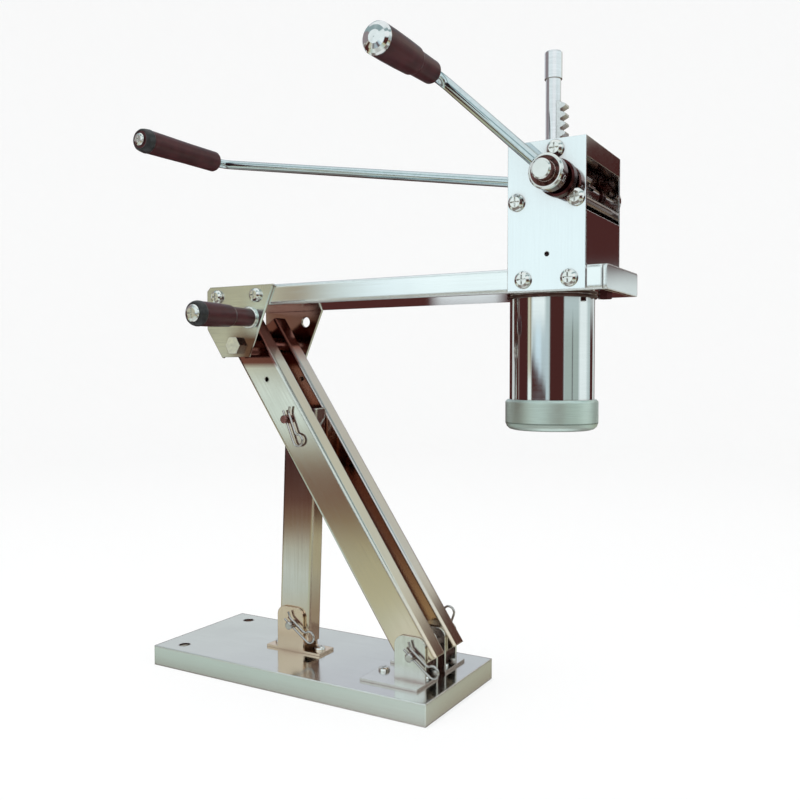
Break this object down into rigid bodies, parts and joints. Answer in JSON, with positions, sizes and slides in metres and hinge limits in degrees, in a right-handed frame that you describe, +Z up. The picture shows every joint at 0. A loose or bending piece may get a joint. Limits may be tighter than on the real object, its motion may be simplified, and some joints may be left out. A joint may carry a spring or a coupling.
{
  "type": "hand noodle press",
  "caption": "Hand noodle press: barrel with screw cap and die under a rack-and-pinion head with crank and press lever, on a leaning stand with a folded base.",
  "frame": {"origin": "under the middle of the base tray's left end wall, on the surface the base stands on", "axes": "+X along the base and the arm towards the head, -Y is the front with the crank, +Z up"},
  "size_m": [0.5026, 0.2537, 0.5759],
  "materials": {
    "tray_steel": "polished folded sheet",
    "bracket_steel": "bright sheet",
    "fastener_steel": "bright zinc",
    "tube_steel": "satin tube",
    "pin_steel": "bright",
    "saddle_steel": "satin sheet",
    "arm_steel": "polished tube",
    "plate_steel": "polished sheet",
    "inner_steel": "turned",
    "gear_steel": "machined",
    "bush_dark": "dark bearing metal",
    "barrel_steel": "mirror polished tube",
    "hub_steel": "turned",
    "rod_steel": "plated rod",
    "grip_plastic": "dark red-brown moulding",
    "cap_chrome": "plated",
    "cast_alloy": "satin casting",
    "die_steel": "drilled plate",
    "seal_rubber": "food rubber"
  },
  "bodies": {
    "stand": {"base_plate": "tray_steel", "strut_bracket": "bracket_steel", "front_rail_bracket": "bracket_steel", "rear_rail_bracket": "bracket_steel", "bracket_screws": "fastener_steel", "bracket_nuts": "fastener_steel", "strut": "tube_steel", "front_rail": "tube_steel", "rear_rail": "tube_steel", "strut_foot_pin": "pin_steel", "strut_top_pin": "pin_steel", "rail_foot_pin": "pin_steel", "r_clips": "pin_steel", "pivot_bolt": "fastener_steel", "pivot_nut": "fastener_steel", "pivot_spacers": "fastener_steel"},
    "arm": {"saddle": "saddle_steel", "saddle_bolts": "fastener_steel", "saddle_nuts": "fastener_steel", "arm": "arm_steel", "arm_end_cap": "arm_steel", "end_cap_screw": "fastener_steel", "side_grip": "grip_plastic", "side_grip_bolt": "fastener_steel", "side_grip_nut": "fastener_steel", "front_plate": "plate_steel", "rear_plate": "plate_steel", "side_plates": "plate_steel", "tie_bars": "inner_steel", "rod_guide": "inner_steel", "plate_screws": "fastener_steel", "front_bush": "bush_dark", "rear_bush": "bush_dark", "barrel": "barrel_steel"},
    "crank": {"pinion": "gear_steel", "pinion_shaft": "inner_steel", "shaft_sleeves": "inner_steel", "crank_hub": "hub_steel", "crank_screw": "fastener_steel", "crank_rod": "rod_steel", "ratchet_wheel": "gear_steel", "shaft_nut": "fastener_steel"},
    "crank_handle": {"crank_grip": "grip_plastic", "crank_grip_cap": "cap_chrome"},
    "press_lever": {"lever_hub": "hub_steel", "pawl": "gear_steel", "pawl_pin": "pin_steel", "lever_rod": "rod_steel", "press_grip_screw": "fastener_steel"},
    "press_handle": {"press_grip": "grip_plastic"},
    "plunger": {"plunger_rod": "rod_steel", "rack_bar": "gear_steel", "rod_collar": "rod_steel", "piston": "cast_alloy", "piston_seal": "seal_rubber", "piston_nut": "fastener_steel"},
    "die": {"die_plate": "die_steel"},
    "screw_cap": {"cap_ring": "cast_alloy"}
  },
  "joints": [
    {"name": "arm_tilt", "type": "hinge", "parent": "stand", "child": "arm", "pos_m": [0.09398, 0, 0.32994], "axis": [0, -1, 0], "range_deg": [0, 50]},
    {"name": "crank_turn", "type": "hinge", "parent": "arm", "child": "crank", "pos_m": [0.42648, 0, 0.45844], "axis": [0, -1, 0], "range_deg": [-80, 295]},
    {"name": "plunger_feed", "type": "slide", "parent": "arm", "child": "plunger", "axis": [0, 0, -1], "range_m": [-0.0158, 0.058]},
    {"name": "lever_swing", "type": "hinge", "parent": "arm", "child": "press_lever", "pos_m": [0.42648, 0, 0.45844], "axis": [0, -1, 0], "range_deg": [-100, 30]},
    {"name": "crank_grip_spin", "type": "hinge", "parent": "crank", "child": "crank_handle", "pos_m": [0.3314, -0.1, 0.5471], "axis": [0, -1, 0], "continuous": true},
    {"name": "press_grip_spin", "type": "hinge", "parent": "press_lever", "child": "press_handle", "pos_m": [-0.02432, 0, 0.54574], "axis": [0, -1, 0], "continuous": true},
    {"name": "die_drop", "type": "slide", "parent": "arm", "child": "die", "axis": [0, 0, -1], "range_m": [0, 0.0201]},
    {"name": "cap_turn", "type": "hinge", "parent": "die", "child": "screw_cap", "pos_m": [0.40498, 0, 0.25444], "axis": [0, 0, -1], "range_deg": [0, 1800]}
  ],
  "couplings": [
    {"joint": "plunger_feed", "follows": "crank_turn", "m_per_rad": 0.01125},
    {"joint": "die_drop", "follows": "cap_turn", "m_per_rad": 0.00063662}
  ]
}
